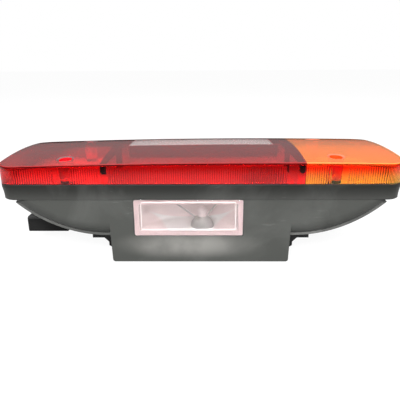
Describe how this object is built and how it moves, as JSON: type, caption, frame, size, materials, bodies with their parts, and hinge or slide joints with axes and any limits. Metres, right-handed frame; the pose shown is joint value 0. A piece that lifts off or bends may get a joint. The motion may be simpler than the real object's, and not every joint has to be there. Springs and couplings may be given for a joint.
{
  "type": "truck rear combination lamp",
  "caption": "Long rear lamp with crowned red and amber lens, clear reversing pane, grey boat-shaped housing, mounting foot and number-plate window.",
  "frame": {"origin": "middle of the underside of the mounting foot, which is the bottom centre of the lamp's box", "axes": "+X along the lamp towards the amber end, +Z out of the lens, the number-plate window faces -Y"},
  "size_m": [0.4, 0.14, 0.1088],
  "materials": {
    "housing_plastic": "satin dark grey moulding",
    "red_lens": "clear red, fluted skirt",
    "amber_lens": "clear amber, fluted skirt",
    "clear_lens": "clear, polished",
    "seal_rubber": "matt",
    "screw_steel": "zinc plated",
    "white_reflector": "white, satin",
    "holder_plastic": "light grey, satin",
    "bulb_glass": "clear glass with metal base",
    "brass_strip": "plain brass",
    "black_plastic": "satin black"
  },
  "bodies": {
    "root": {"housing": "housing_plastic", "lens_red": "red_lens", "lens_amber": "amber_lens", "lens_clear": "clear_lens", "lens_gasket": "seal_rubber", "lens_screws": "screw_steel", "plate_window": "clear_lens", "plate_gasket": "seal_rubber", "plate_reflector": "white_reflector", "plate_holder": "holder_plastic", "plate_contacts": "screw_steel", "plate_bulb": "bulb_glass", "reflector_left": "white_reflector", "reflector_centre": "white_reflector", "reflector_right": "white_reflector", "holder_fog": "holder_plastic", "holder_stop": "holder_plastic", "holder_reverse": "holder_plastic", "holder_indicator": "holder_plastic", "bulb_fog": "bulb_glass", "bulb_stop": "bulb_glass", "bulb_reverse": "bulb_glass", "bulb_indicator": "bulb_glass", "earth_strip": "brass_strip", "connector_socket": "black_plastic", "connector_pins": "brass_strip", "connector_seal": "seal_rubber", "breather": "black_plastic", "bracket_left": "black_plastic", "bracket_right": "black_plastic", "bracket_screws": "screw_steel", "stud_inserts": "brass_strip"}
  },
  "joints": []
}
